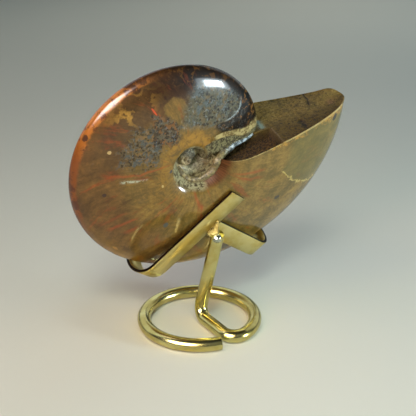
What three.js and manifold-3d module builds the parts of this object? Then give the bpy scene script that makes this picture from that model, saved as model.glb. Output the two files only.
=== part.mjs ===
// A polished ammonite standing in a brass wire-and-strip cradle. Millimetres, +Z up.
import * as THREE from 'three';
import { mergeVertices } from 'three/addons/utils/BufferGeometryUtils.js';
import Module from 'manifold-3d';

const wasm = await Module();
wasm.setup();

// Coiled shell: its outer radius shrinks by a fixed factor with each turn back from the aperture.
const APERTURE_RADIUS = 62.6;
const WHORL_EXPANSION = 2.27;
const SEAM_RATIO = 0.104;
const HALF_THICKNESS_RATIO = 0.244;
const SHOULDER_SHARE = 0.207;
const FLANK_TAPER = 1.29;
const VENTER_ROUNDNESS = 0.49;
const UMBILICAL_WALL_POWER = 2.5;
const FAR_EDGE_DIP = THREE.MathUtils.degToRad(1.15);
const FAR_EDGE_RISE = THREE.MathUtils.degToRad(1.2);
const INNER_CORE_RADIUS = 5.2;
const INNER_CORE_HEIGHT = 6.4;
const TURN = 2 * Math.PI;
const LIP_TURNS = 0.04;
const FLANK_POINTS = 18;
const DEGREES_PER_STEP = 7.2;

// Hollow in the aperture's stone fill, between the near flank and the inner whorl.
const HOLLOW_START_SHARE = 0.11;
const HOLLOW_END_SHARE = 0.435;
const HOLLOW_INNER_SIDE = 3.6;
const HOLLOW_OUTER_SIDE = 12.2;
const HOLLOW_DEPTH = 4.1;

// How the shell stands above the ring's centre: leaning onto the arms, aperture side raised.
const SHELL_CENTRE = new THREE.Vector3(-3.26, 4.97, 64.9);
const SHELL_LEAN = THREE.MathUtils.degToRad(15.9);
const SHELL_ROLL = THREE.MathUtils.degToRad(13.35);

// Cradle arms: two flat strips at a right angle, each ending in a hook under the shell's edge.
const ARM_LEAN = THREE.MathUtils.degToRad(24.9);
const ARM_WIDTH = 7.2;
const ARM_THICKNESS = 1.2;
const ARM_INNER_FACE = 15.35;
const LONG_ARM_TOP = new THREE.Vector2(15.5, -9.1);
const LONG_ARM_ANGLE = THREE.MathUtils.degToRad(-127.7);
const LONG_ARM_STRAIGHT = 40;
const SHORT_ARM_DOWN_LONG_ARM = 15.8;
const SHORT_ARM_REACH = 28.8;
const HOOK_INNER_RADIUS = 8;
const HOOK_SEGMENTS = 14;
const FIT_GAP = 0.3;

// Base: one rod bent into an open ring, a run to the ring's centre, a post and a short bent top.
const WIRE_DIAMETER = 4.8;
const WIRE_SIDES = 12;
const WIRE_STEPS = 96;
const RING_RADIUS = 20.2;
const RING_FREE_END = THREE.MathUtils.degToRad(-94);
const RING_SWEEP = THREE.MathUtils.degToRad(328);
const RING_POINTS = 48;
const RING_BEND_RADIUS = 4.5;
const POST_FOOT = new THREE.Vector2(0.6, 1.8);
const POST_FOOT_BEND_RADIUS = 4.2;
const INWARD_RUN_START = new THREE.Vector2(2.6, -15.2);
const KNEE = new THREE.Vector2(9.5, -25.9);
const KNEE_BEND_RADIUS = 5;
const POST_TOP_LENGTH = 1.6;
const POST_TOP_ANGLE = THREE.MathUtils.degToRad(100);
const BEND_POINTS = 7;

// Solder: a fillet that tapers up the long arm from the end of the post.
const SOLDER_FOOT = new THREE.Vector2(8.9, -25.2);
const SOLDER_FOOT_RADIUS = 3.6;
const SOLDER_TIP = new THREE.Vector2(9.9, -19.6);
const SOLDER_TIP_RADIUS = 0.6;
const SOLDER_SIDES = 24;

const fossil = new THREE.MeshStandardMaterial({ color: 0x6b4a26, roughness: 0.18, metalness: 0 });
const brass = new THREE.MeshStandardMaterial({ color: 0xc9b063, roughness: 0.22, metalness: 1 });
const solder = new THREE.MeshStandardMaterial({ color: 0xb7ab84, roughness: 0.25, metalness: 1 });

// Booleans on closed geometries.
function toSolid(geometry) {
  const bare = geometry.clone();
  bare.deleteAttribute('normal');
  bare.deleteAttribute('uv');
  const merged = mergeVertices(bare, 1e-4);
  return new wasm.Manifold(new wasm.Mesh({
    numProp: 3,
    vertProperties: new Float32Array(merged.attributes.position.array),
    triVerts: new Uint32Array(merged.index.array),
  }));
}

function toGeometry(solid) {
  const mesh = solid.getMesh();
  const geometry = new THREE.BufferGeometry();
  geometry.setAttribute('position', new THREE.BufferAttribute(new Float32Array(mesh.vertProperties), 3));
  geometry.setIndex(new THREE.BufferAttribute(new Uint32Array(mesh.triVerts), 1));
  geometry.computeVertexNormals();
  return geometry;
}

// Height of the flank over the median plane, as a share of the whorl's half thickness.
function flankHeight(share) {
  if (share < SHOULDER_SHARE) {
    const belowShoulder = (SHOULDER_SHARE - share) / SHOULDER_SHARE;
    return Math.sqrt(Math.max(0, 1 - belowShoulder ** UMBILICAL_WALL_POWER));
  }
  const pastShoulder = (share - SHOULDER_SHARE) / (1 - SHOULDER_SHARE);
  return Math.max(0, 1 - pastShoulder ** FLANK_TAPER) ** VENTER_ROUNDNESS;
}

// One loop of whorl outline: from the seam over the far flank to the venter and back on the near one.
function sectionPoint(index) {
  const side = (index - FLANK_POINTS) / FLANK_POINTS;
  const share = (1 + Math.cos(Math.PI * side)) / 2;
  return { share, height: flankHeight(share) * Math.sign(side), side };
}

function bell(place, centre, width) {
  return Math.exp(-(((place - centre) / width) ** 2));
}

// The far edge of the aperture dips along the flank and rises a little near the venter.
function lipAngle(turn, side) {
  const nearAperture = Math.max(0, 1 - turn / LIP_TURNS);
  return nearAperture * (FAR_EDGE_RISE * bell(side, -0.15, 0.075) - FAR_EDGE_DIP * bell(side, -0.42, 0.16));
}

// Distance from the coil's axis at a share of the way from seam to venter.
function whorlRadius(turn, share) {
  const outer = APERTURE_RADIUS * WHORL_EXPANSION ** -turn;
  return outer * (SEAM_RATIO + (1 - SEAM_RATIO) * share);
}

function whorl(fromTurn, toTurn) {
  const loop = 2 * FLANK_POINTS;
  const steps = Math.ceil((toTurn - fromTurn) * 360 / DEGREES_PER_STEP);
  const positions = [];
  const addPoint = (turn, share, height, side) => {
    const radius = whorlRadius(turn, share);
    const angle = lipAngle(turn, side) - turn * TURN;
    const halfThickness = whorlRadius(turn, 1) * HALF_THICKNESS_RATIO;
    positions.push(radius * Math.cos(angle), radius * Math.sin(angle), halfThickness * height);
  };
  for (let step = 0; step <= steps; step += 1) {
    const turn = THREE.MathUtils.lerp(fromTurn, toTurn, step / steps);
    for (let index = 0; index < loop; index += 1) {
      const { share, height, side } = sectionPoint(index);
      addPoint(turn, share, height, side);
    }
  }
  const startCentre = positions.length / 3;
  addPoint(fromTurn, 0.45, 0, 1);
  addPoint(toTurn, 0.45, 0, 1);
  const triangles = [];
  for (let index = 0; index < loop; index += 1) {
    const next = (index + 1) % loop;
    for (let step = 0; step < steps; step += 1) {
      const here = step * loop;
      const there = here + loop;
      triangles.push(here + index, here + next, there + index);
      triangles.push(here + next, there + next, there + index);
    }
    triangles.push(startCentre, next, index);
    triangles.push(startCentre + 1, steps * loop + index, steps * loop + next);
  }
  const geometry = new THREE.BufferGeometry();
  geometry.setAttribute('position', new THREE.Float32BufferAttribute(positions, 3));
  geometry.setIndex(triangles);
  return geometry;
}

function hollowGeometry() {
  const from = whorlRadius(0, HOLLOW_START_SHARE);
  const to = whorlRadius(0, HOLLOW_END_SHARE);
  const hollow = new THREE.BoxGeometry(to - from, 2 * HOLLOW_DEPTH, HOLLOW_OUTER_SIDE - HOLLOW_INNER_SIDE);
  hollow.translate((from + to) / 2, 0, (HOLLOW_OUTER_SIDE + HOLLOW_INNER_SIDE) / 2);
  return hollow;
}

function ammoniteGeometry() {
  const core = new THREE.SphereGeometry(1, 20, 12);
  core.scale(INNER_CORE_RADIUS, INNER_CORE_RADIUS, INNER_CORE_HEIGHT);
  const outerWhorl = toSolid(whorl(0, 1 - LIP_TURNS)).subtract(toSolid(hollowGeometry()));
  const innerWhorls = toSolid(whorl(1 - LIP_TURNS, 1.6));
  return toGeometry(outerWhorl.add(innerWhorls).add(toSolid(core)));
}

// Side view of an arm: a straight leg, then a half-round hook that turns under the shell.
function armGeometry(startAlong, straightEnd) {
  const outerRadius = HOOK_INNER_RADIUS + ARM_THICKNESS;
  const profile = new THREE.Shape();
  profile.moveTo(startAlong, 0);
  profile.lineTo(straightEnd, 0);
  profile.absarc(straightEnd, -HOOK_INNER_RADIUS, HOOK_INNER_RADIUS, Math.PI / 2, -Math.PI / 2, true);
  profile.lineTo(straightEnd, -HOOK_INNER_RADIUS - outerRadius);
  profile.absarc(straightEnd, -HOOK_INNER_RADIUS, outerRadius, -Math.PI / 2, Math.PI / 2, false);
  profile.lineTo(startAlong, ARM_THICKNESS);
  const geometry = new THREE.ExtrudeGeometry(profile, {
    depth: ARM_WIDTH, bevelEnabled: false, curveSegments: HOOK_SEGMENTS,
  });
  geometry.translate(0, 0, -ARM_WIDTH / 2);
  geometry.rotateX(Math.PI / 2);
  return geometry;
}

// Replaces a corner by an arc of the given radius, as points from one leg to the other.
function roundedCorner(before, corner, after, radius) {
  const toBefore = before.clone().sub(corner).normalize();
  const toAfter = after.clone().sub(corner).normalize();
  const halfAngle = toBefore.angleTo(toAfter) / 2;
  const bisector = toBefore.clone().add(toAfter).normalize();
  const centre = corner.clone().addScaledVector(bisector, radius / Math.sin(halfAngle));
  const start = corner.clone().addScaledVector(toBefore, radius / Math.tan(halfAngle)).sub(centre);
  const axis = toAfter.clone().cross(toBefore).normalize();
  const turnAngle = Math.PI - 2 * halfAngle;
  return Array.from({ length: BEND_POINTS }, (_, index) => {
    const angle = turnAngle * index / (BEND_POINTS - 1);
    return start.clone().applyAxisAngle(axis, angle).add(centre);
  });
}

const cradleTurn = new THREE.Euler(Math.PI / 2 + ARM_LEAN, 0, 0);

// A point of the arms' plane, raised over the shell's centre, in the frame of the base.
function onCradle(flat, height) {
  return new THREE.Vector3(flat.x, flat.y, height).applyEuler(cradleTurn).add(SHELL_CENTRE);
}

const wireRadius = WIRE_DIAMETER / 2;
const armOuterFace = ARM_INNER_FACE + ARM_THICKNESS;
const postTopHeight = armOuterFace + FIT_GAP + wireRadius / Math.cos(Math.PI / WIRE_SIDES);
const postTopDirection = new THREE.Vector2(Math.cos(POST_TOP_ANGLE), Math.sin(POST_TOP_ANGLE));
const postTop = KNEE.clone().addScaledVector(postTopDirection, POST_TOP_LENGTH);

function wirePath() {
  const ring = Array.from({ length: RING_POINTS + 1 }, (_, index) => {
    const angle = RING_FREE_END - RING_SWEEP * index / RING_POINTS;
    return new THREE.Vector3(RING_RADIUS * Math.cos(angle), RING_RADIUS * Math.sin(angle), wireRadius);
  });
  const ringEnd = ring[RING_POINTS];
  const tangent = new THREE.Vector3(ringEnd.y, -ringEnd.x, 0).normalize();
  const runStart = new THREE.Vector3(INWARD_RUN_START.x, INWARD_RUN_START.y, wireRadius);
  const foot = new THREE.Vector3(POST_FOOT.x, POST_FOOT.y, wireRadius);
  const knee = onCradle(KNEE, postTopHeight);
  const top = onCradle(postTop, postTopHeight);
  const inward = foot.clone().sub(runStart).normalize();
  const gap = runStart.clone().sub(ringEnd);
  const along = (gap.x * inward.y - gap.y * inward.x) / (tangent.x * inward.y - tangent.y * inward.x);
  const ringCorner = ringEnd.clone().addScaledVector(tangent, along);
  return new THREE.CatmullRomCurve3([
    ...ring.slice(0, RING_POINTS),
    ...roundedCorner(ringEnd, ringCorner, foot, RING_BEND_RADIUS),
    ...roundedCorner(ringCorner, foot, knee, POST_FOOT_BEND_RADIUS),
    ...roundedCorner(foot, knee, top, KNEE_BEND_RADIUS),
    top,
  ], false, 'centripetal');
}

// Wire section whose flat sides face straight up and down along the ring.
function polygon(sides, inscribedRadius) {
  const outer = inscribedRadius / Math.cos(Math.PI / sides);
  return new THREE.Shape(Array.from({ length: sides }, (_, index) => {
    const angle = TURN * (index + 0.5) / sides;
    return new THREE.Vector2(outer * Math.cos(angle), outer * Math.sin(angle));
  }));
}

function wireGeometry() {
  const path = wirePath();
  path.arcLengthDivisions = 4000;
  return new THREE.ExtrudeGeometry(polygon(WIRE_SIDES, wireRadius), { steps: WIRE_STEPS, extrudePath: path });
}

function solderGeometry() {
  const run = SOLDER_TIP.clone().sub(SOLDER_FOOT);
  const middle = SOLDER_FOOT.clone().add(SOLDER_TIP).divideScalar(2);
  const faceHeight = armOuterFace + FIT_GAP;
  const length = run.length();
  const fillet = new THREE.CylinderGeometry(SOLDER_TIP_RADIUS, SOLDER_FOOT_RADIUS, length, SOLDER_SIDES);
  fillet.rotateZ(run.angle() - Math.PI / 2);
  fillet.translate(middle.x, middle.y, faceHeight);
  const armDepth = 2 * SOLDER_FOOT_RADIUS;
  const armSpace = new THREE.BoxGeometry(4 * armDepth, 4 * armDepth, armDepth);
  armSpace.translate(middle.x, middle.y, faceHeight - armDepth / 2);
  const clearRadius = (wireRadius + FIT_GAP) / Math.cos(Math.PI / WIRE_SIDES);
  const clearLength = 2 * (POST_TOP_LENGTH + FIT_GAP);
  const rod = new THREE.CylinderGeometry(clearRadius, clearRadius, clearLength, SOLDER_SIDES);
  rod.rotateZ(POST_TOP_ANGLE - Math.PI / 2);
  rod.translate(KNEE.x, KNEE.y, postTopHeight);
  return toGeometry(toSolid(fillet).subtract(toSolid(armSpace)).subtract(toSolid(rod)));
}

function namedMesh(name, geometry, material) {
  const mesh = new THREE.Mesh(geometry, material);
  mesh.name = name;
  return mesh;
}

const ammonite = namedMesh('ammonite', ammoniteGeometry(), fossil);
ammonite.position.copy(SHELL_CENTRE);
ammonite.rotation.set(Math.PI / 2 + SHELL_LEAN, 0, SHELL_ROLL);

const longArm = namedMesh('long_arm', armGeometry(0, LONG_ARM_STRAIGHT), brass);
longArm.position.set(LONG_ARM_TOP.x, LONG_ARM_TOP.y, ARM_INNER_FACE);
longArm.rotation.z = LONG_ARM_ANGLE;

const longArmDirection = new THREE.Vector2(Math.cos(LONG_ARM_ANGLE), Math.sin(LONG_ARM_ANGLE));
const armJunction = LONG_ARM_TOP.clone().addScaledVector(longArmDirection, SHORT_ARM_DOWN_LONG_ARM);
const shortArm = namedMesh('short_arm', armGeometry(ARM_WIDTH / 2 + FIT_GAP, SHORT_ARM_REACH), brass);
shortArm.position.set(armJunction.x, armJunction.y, ARM_INNER_FACE);
shortArm.rotation.z = LONG_ARM_ANGLE + Math.PI / 2;

const solderJoint = namedMesh('solder_joint', solderGeometry(), solder);

const cradle = new THREE.Group();
cradle.position.copy(SHELL_CENTRE);
cradle.rotation.copy(cradleTurn);
cradle.add(longArm, shortArm, solderJoint);

const stand = new THREE.Group();
stand.add(namedMesh('wire_base', wireGeometry(), brass), cradle, ammonite);

// The origin is the middle of the object's box, on the surface that the ring stands on.
stand.updateMatrixWorld(true);
const bounds = new THREE.Box3().setFromObject(stand, true);
const middle = bounds.getCenter(new THREE.Vector3());
stand.position.set(-middle.x, -middle.y, -bounds.min.z);

const object = new THREE.Group();
object.add(stand);

export default object;
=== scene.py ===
"""A polished ammonite in a brass cradle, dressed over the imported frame. Metres, +Z up."""
import math
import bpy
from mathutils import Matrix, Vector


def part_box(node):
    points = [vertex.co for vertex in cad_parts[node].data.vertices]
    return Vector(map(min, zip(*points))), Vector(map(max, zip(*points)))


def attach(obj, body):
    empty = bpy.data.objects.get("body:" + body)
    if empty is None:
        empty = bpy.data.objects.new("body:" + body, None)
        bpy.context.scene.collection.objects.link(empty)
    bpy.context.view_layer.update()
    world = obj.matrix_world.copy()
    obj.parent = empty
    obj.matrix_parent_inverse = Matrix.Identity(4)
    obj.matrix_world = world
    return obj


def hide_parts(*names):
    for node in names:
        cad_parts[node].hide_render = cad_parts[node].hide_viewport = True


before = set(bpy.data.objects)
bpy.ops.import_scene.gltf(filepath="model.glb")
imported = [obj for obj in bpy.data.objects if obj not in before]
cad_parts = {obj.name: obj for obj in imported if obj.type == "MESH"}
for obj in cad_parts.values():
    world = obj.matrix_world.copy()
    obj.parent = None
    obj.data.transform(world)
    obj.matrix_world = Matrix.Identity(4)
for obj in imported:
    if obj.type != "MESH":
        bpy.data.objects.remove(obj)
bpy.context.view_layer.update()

from types import SimpleNamespace

import bpy
from mathutils import Euler, Matrix, Vector

MM = 0.001
TAU = 2 * math.pi

# Coiled shell: millimetres at the aperture, whole turns back from it, ratios to the whorl's outer
# radius, and shares of the way from seam to venter.
APERTURE_RADIUS = 62.6
WHORL_EXPANSION = 2.27
SEAM_RATIO = 0.104
HALF_THICKNESS_RATIO = 0.244
SHOULDER_SHARE = 0.207
FLANK_TAPER = 1.29
VENTER_ROUNDNESS = 0.49
UMBILICAL_WALL_POWER = 2.5
FAR_EDGE_DIP = math.radians(1.15)
FAR_EDGE_RISE = math.radians(1.2)
LIP_TURNS = 0.04
OUTER_WHORL_TURNS = 1.05
INNER_COIL_START = 1.0
LAST_TURN = 2.6
WELD_DISTANCE = 0.001

# Stone in the aperture: shares of the way from seam to venter, and millimetres.
FILL_MIDDLE_SHARE = 0.64
FILL_SET_BACK = 0.4
HOLLOW_DEPTH = 4.0
HOLLOW_END_SHARE = 0.436
HOLLOW_END_SOFTNESS = 0.005
HOLLOW_SIDE = 3.6
HOLLOW_SIDE_SOFTNESS = 0.4
BRINK_SHARE = 0.446
BRINK_HALF_WIDTH = 0.006
BRINK_SIDE = 3.0

# Boss over the innermost turns, in millimetres and radians, placed on the shell's median plane.
KNOB_PLACE = Vector((-1.2, 0.3, 0))
KNOB_RADIUS = 4.6
KNOB_FOOT = 1.6
KNOB_HEIGHT = 4.2
KNOB_FURROW = 0.5
# direction of the side of the boss that gets painted shade
KNOB_SHADE_ANGLE = 0.5

# Shell and cradle, in millimetres. The shell's centre is measured from the ring's centre, and the
# strips lie on the cradle's plane, measured from the shell's centre.
SHELL_CENTRE = Vector((-3.26, 4.97, 64.9))
SHELL_LEAN = math.radians(15.9)
SHELL_ROLL = math.radians(13.35)
ARM_LEAN = math.radians(24.9)
ARM_WIDTH = 7.2
ARM_THICKNESS = 1.2
ARM_EDGE_RADIUS = 0.16
# where the painted dark reflection starts and where it is full, in from the strip's side
DARK_EDGE_START = 0.17
DARK_EDGE_FULL = 0.09
ARM_INNER_FACE = 15.35
LONG_ARM_TOP = Vector((15.5, -9.1))
LONG_ARM_ANGLE = math.radians(-127.7)
LONG_ARM_STRAIGHT = 40
SHORT_ARM_DOWN_LONG_ARM = 15.8
SHORT_ARM_REACH = 28.8
HOOK_INNER_RADIUS = 8
HOOK_STEPS = 28
FIT_GAP = 0.3

# Bent rod, in millimetres from the ring's centre. The knee lies on the cradle's plane.
WIRE_RADIUS = 2.4
RING_RADIUS = 20.2
RING_FREE_END = math.radians(-94)
RING_SWEEP = math.radians(328)
RING_STEPS = 150
RING_BEND_RADIUS = 4.5
INWARD_RUN_START = Vector((2.6, -15.2, WIRE_RADIUS))
POST_FOOT = Vector((0.6, 1.8, WIRE_RADIUS))
POST_FOOT_BEND_RADIUS = 4.2
KNEE = Vector((9.5, -25.9))
KNEE_BEND_RADIUS = 5
POST_TOP_LENGTH = 1.6
POST_TOP_ANGLE = math.radians(100)

# Solder, in millimetres on the cradle's plane. The drop's third number is its height over the strip.
SOLDER_FOOT = Vector((8.9, -25.4))
SOLDER_TIP = Vector((9.95, -19.7))
SOLDER_HALF_WIDTH = 2.0
SOLDER_HEIGHT = 3.9
SOLDER_DROP = Vector((8.95, -25.2, 3.6))
SOLDER_DROP_RADIUS = 1.75

# Ridge along the inner whorl's seam: turns back from the aperture, share of the flank.
RIDGE = (
    (1.0056, 0.975), (1.0056, 0.8), (1.004, 0.56), (1.016, 0.42), (0.015, 0.037), (0.08, 0.038),
    (0.143, 0.039), (0.22, 0.04), (0.298, 0.036), (0.37, 0.024), (0.44, 0.008),
)
RIDGE_RADIUS = 1.3

# Camera of the photograph, in millimetres from the ring's centre.
CAMERA_PLACE = Vector((-118.2, -256.2, 158.8))
CAMERA_AZIMUTH = math.radians(-25.4)
CAMERA_ELEVATION = math.radians(21.95)
CAMERA_FIELD = math.radians(26.7)

# Floor's reach to each side, in metres, and the strength of the light from all round.
FLOOR_REACH = 4
ROOM_STRENGTH = 0.07

wire_low, wire_high = (Vector(corner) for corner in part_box("wire_base"))
ring_reach = (RING_RADIUS + WIRE_RADIUS) * MM
RING_CENTRE = Vector((wire_low.x + ring_reach, wire_high.y - ring_reach, 0))


def placed(centre, turn):
    """Matrix that takes millimetres in a piece's own frame to the object's frame."""
    return Matrix.Translation(RING_CENTRE + centre * MM) @ turn.to_matrix().to_4x4() @ Matrix.Scale(MM, 4)


shell_frame = placed(SHELL_CENTRE, Euler((math.pi / 2 + SHELL_LEAN, 0, SHELL_ROLL), "ZYX"))
cradle_frame = placed(SHELL_CENTRE, Euler((math.pi / 2 + ARM_LEAN, 0, 0)))
base_frame = placed(Vector((0, 0, 0)), Euler((0, 0, 0)))


def paint(red, green, blue):
    """Linear colour of a screen colour with channels from 0 to 255."""
    def linear(channel):
        share = channel / 255
        return share / 12.92 if share <= 0.04045 else ((share + 0.055) / 1.055) ** 2.4
    return (linear(red), linear(green), linear(blue), 1)


# Small marks on the near flank: degrees back from the aperture, share of the flank,
# width in degrees, height as a share of the flank, colour.
MARKS = (
    (211, 0.985, 2.2, 0.031, paint(64, 34, 18)),
    (208, 0.755, 1.5, 0.021, paint(186, 156, 100)),
    (178, 0.73, 1.6, 0.023, paint(54, 36, 30)),
    (124.4, 0.46, 2.4, 0.034, paint(66, 68, 66)),
    (42.4, 0.66, 1.8, 0.026, paint(58, 52, 44)),
    (3.0, 0.877, 1.7, 0.024, paint(28, 30, 36)),
    (247.4, 0.695, 0.75, 0.055, paint(196, 72, 30)),
    (167.6, 0.22, 3.0, 0.012, paint(172, 146, 88)),
    (139.2, 0.907, 2.2, 0.016, paint(164, 116, 46)),
    (188, 0.12, 4.5, 0.02, paint(52, 54, 64)),
)

# Red streaks on the near flank: degrees and share where each starts, the same where it ends,
# width in degrees, strength.
STREAKS = (
    (149.2, 0.56, 152.8, 0.81, 1.0, 0.6),
    (142.4, 0.61, 144.6, 0.72, 1.2, 0.5),
    (158, 0.6, 158, 0.85, 1.2, 0.3),
    (102, 0.1, 92.4, 0.27, 2.6, 0.55),
    (24.4, 0.137, 20.4, 0.34, 1.8, 0.5),
    (31.2, 0.19, 27.6, 0.36, 1.6, 0.35),
)


class Value:
    """An output socket that takes part in sums: each operator adds a maths node to its tree."""

    def __init__(self, tree, socket):
        self.tree = tree
        self.socket = socket

    def maths(self, operation, *others):
        return self.tree.maths(operation, self, *others)

    def __add__(self, other):
        return self.maths("ADD", other)

    def __radd__(self, other):
        return self.tree.maths("ADD", other, self)

    def __sub__(self, other):
        return self.maths("SUBTRACT", other)

    def __rsub__(self, other):
        return self.tree.maths("SUBTRACT", other, self)

    def __mul__(self, other):
        return self.maths("MULTIPLY", other)

    def __rmul__(self, other):
        return self.tree.maths("MULTIPLY", other, self)

    def __truediv__(self, other):
        return self.maths("DIVIDE", other)

    def __rtruediv__(self, other):
        return self.tree.maths("DIVIDE", other, self)

    def __pow__(self, other):
        return self.maths("POWER", other)

    def __rpow__(self, other):
        return self.tree.maths("POWER", other, self)

    def __abs__(self):
        return self.maths("ABSOLUTE")

    def stretch(self, operation, *others):
        """The same for whole vectors."""
        inputs = dict(enumerate((self, *others)))
        return self.tree.node("ShaderNodeVectorMath", {"operation": operation}, inputs)

    def above(self, low, high):
        """0 below low, 1 above high, smooth between."""
        inputs = {"Value": self, "From Min": low, "From Max": high}
        return self.tree.node("ShaderNodeMapRange", {"interpolation_type": "SMOOTHSTEP"}, inputs)

    def below(self, low, high):
        return 1 - self.above(low, high)

    def within(self, low, high, soft):
        return self.above(low - soft, low + soft) * self.below(high - soft, high + soft)

    def near(self, centre, width):
        """A bell that is 1 at centre."""
        offset = (self - centre) / width
        return (offset * offset * -1).maths("EXPONENT")


class Tree:
    """A node tree with one method for nodes of any kind and a few short forms."""

    def __init__(self, tree):
        self.tree = tree

    def feed(self, socket, value):
        if isinstance(value, Value):
            self.tree.links.new(value.socket, socket)
        else:
            socket.default_value = value

    def node(self, kind, settings=None, inputs=None, output=0):
        made = self.tree.nodes.new(kind)
        for name, value in (settings or {}).items():
            setattr(made, name, value)
        for key, value in (inputs or {}).items():
            self.feed(made.inputs[key], value)
        return Value(self, made.outputs[output])

    def maths(self, operation, *values):
        return self.node("ShaderNodeMath", {"operation": operation}, dict(enumerate(values)))

    def vector(self, x, y, z):
        return self.node("ShaderNodeCombineXYZ", None, {"X": x, "Y": y, "Z": z})

    def attribute(self, name):
        return self.node("ShaderNodeAttribute", {"attribute_name": name}, output="Fac")

    def place(self):
        return self.node("ShaderNodeTexCoord", output="Object")

    def noise(self, vector, scale, detail=3.0, roughness=0.5, distortion=0.0):
        inputs = {"Vector": vector, "Scale": scale, "Detail": detail, "Roughness": roughness}
        inputs["Distortion"] = distortion
        return self.node("ShaderNodeTexNoise", None, inputs)

    def mix(self, first, second, factor, blend="MIX"):
        settings = {"data_type": "RGBA", "blend_type": blend}
        return self.node("ShaderNodeMix", settings, {0: factor, 6: first, 7: second}, output=2)

    def bump(self, height, distance):
        inputs = {"Height": height, "Distance": distance, "Strength": 1.0}
        return self.node("ShaderNodeBump", None, inputs)


def material(name, fill, **constants):
    """A material whose shader takes the constants, and the varying sockets that fill returns."""
    made = bpy.data.materials.new(name)
    made.use_nodes = True
    shader = made.node_tree.nodes["Principled BSDF"]
    for socket, value in constants.items():
        shader.inputs[socket.replace("_", " ")].default_value = value
    tree = Tree(made.node_tree)
    for socket, value in fill(tree).items():
        tree.feed(shader.inputs[socket], value)
    return made


def flank_fields(tree):
    """Where a point lies on the whorl, and the noises that the shell's colours share.

    degrees counts back from the aperture, and share runs from 0 at the seam to 1 at the venter. The
    functions that use these fields give each mark's place in them. around and out are the same two
    with ragged edges.
    """
    place = tree.place()
    degrees = tree.attribute("turn") * 360
    across = tree.attribute("across")
    share = 1 - abs(across)
    wander = tree.noise(place, 90, 4) - 0.5
    drift = tree.noise(place, 210, 5, 0.6) - 0.5
    growth = degrees + (share - 0.45) * (share - 0.45) * 40 + wander * 7 + drift * 4
    sway_inputs = {"Vector": place, "Scale": 480, "Detail": 3.0}
    sway = tree.node("ShaderNodeTexNoise", None, sway_inputs, output="Color")
    bent = sway.stretch("MULTIPLY_ADD", (0.002, 0.002, 0.002), place)
    rosette = tree.node("ShaderNodeTexVoronoi", None, {"Vector": bent, "Scale": 720})
    pepper = tree.noise(place, 900, 4, 0.75, 0.4)
    return SimpleNamespace(
        degrees=degrees, across=across, share=share, wander=wander, drift=drift,
        around=degrees + wander * 30 + drift * 26,
        out=share + wander * 0.1 + drift * 0.14,
        grain=tree.noise(place, 950, 6, 0.7),
        frond=tree.noise(place, 300, 8, 0.72, 0.6),
        mottle=tree.noise(place, 130, 8, 0.72, 0.5),
        pepper=pepper,
        eye=rosette + (pepper - 0.5) * 0.6,
        rust=tree.noise(place, 520, 4, 0.6, 0.5),
        streak=tree.noise(tree.vector(growth * 0.3, across * 2.4, 0), 1, 7, 0.72),
        thread=tree.noise(tree.vector(growth * 0.14, across * 2.2, 9), 1, 5, 0.62),
    )


# Colours of the shell under its marks.
OLIVE_SHELL = paint(90, 73, 29)
TAN_SHELL = paint(122, 95, 42)
CHESTNUT_SHELL = paint(94, 62, 23)
GOLDEN_SHELL = paint(116, 86, 30)
DULL_GOLDEN_SHELL = paint(90, 68, 30)
DARK_BROWN_SHELL = paint(50, 25, 2)
SMOKY_SHELL = paint(70, 48, 23)
GOLD_VEIN = paint(160, 118, 48)
BLACK_VENTER = paint(20, 12, 5)
GOLD_LEAF_PATCH = paint(118, 90, 34)
RED_GROWTH_LINE = paint(134, 57, 19)


def ground_colour(tree, at):
    """Brown shell drawn with growth lines, golden inward and nearly black over the top."""
    colour = tree.mix(OLIVE_SHELL, TAN_SHELL, (at.mottle + at.drift * 0.4).above(0.34, 0.68))
    outward = at.around.within(105, 420, 28) * at.out.above(0.38, 0.66)
    colour = tree.mix(colour, CHESTNUT_SHELL, outward * 0.8)
    gold = tree.mix(GOLDEN_SHELL, DULL_GOLDEN_SHELL, at.frond.above(0.4, 0.62))
    colour = tree.mix(colour, gold, at.around.above(95, 140) * at.out.below(0.3, 0.66) * 0.75)
    colour = tree.mix(colour, DARK_BROWN_SHELL, at.around.above(226, 254) * at.out.above(0.44, 0.78) * 0.9)
    smoke = at.around.within(204, 246, 14) * at.out.within(0.6, 0.92, 0.07)
    colour = tree.mix(colour, SMOKY_SHELL, smoke * 0.75)
    veined = at.degrees.near(236, 15) * at.share.near(0.82, 0.12)
    vein = abs(at.wander + at.drift * 0.3).below(0.012, 0.045) * veined
    colour = tree.mix(colour, GOLD_VEIN, vein * 0.8)
    colour = tree.mix(colour, BLACK_VENTER, at.around.above(250, 278) * at.out.above(0.68, 0.88) * 0.94)
    leaf = (at.degrees.near(263, 11) * at.share.near(0.62, 0.13) + (at.frond - 0.5) * 0.9).above(0.32, 0.56)
    colour = tree.mix(colour, GOLD_LEAF_PATCH, leaf * 0.6)
    red = (at.thread + at.drift * 0.3).above(0.55, 0.68) * at.around.within(20, 285, 18)
    colour = tree.mix(colour, RED_GROWTH_LINE, red * 0.5)
    mottled = 0.14 + at.degrees.above(90, 140) * 0.2
    colour = tree.mix(colour, (at.mottle - 0.5) * 2.4 + 0.5, mottled, "OVERLAY")
    lined = 0.2 + at.degrees.above(60, 120) * 0.14
    colour = tree.mix(colour, (at.streak - 0.5) * 2.4 + 0.5, lined, "OVERLAY")
    return tree.mix(colour, (at.grain - 0.5) * 1.6 + 0.5, 0.35, "OVERLAY")


# Colours of the streaks, the amber band and the rim.
AMBER_BAND = paint(148, 106, 34)
DULL_AMBER_BAND = paint(100, 74, 28)
LONG_RED_STREAK = paint(160, 66, 20)
SHORT_RED_STREAK = paint(154, 64, 26)
MILKY_STREAK = paint(176, 182, 156)
RIM_GLOW = paint(124, 78, 26)
RIM_ORANGE = paint(140, 74, 14)
RIM_FLAME = paint(196, 118, 36)
RIM_EMBER = paint(92, 46, 14)
GOLDEN_UNDERSIDE = paint(168, 126, 36)


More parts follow.
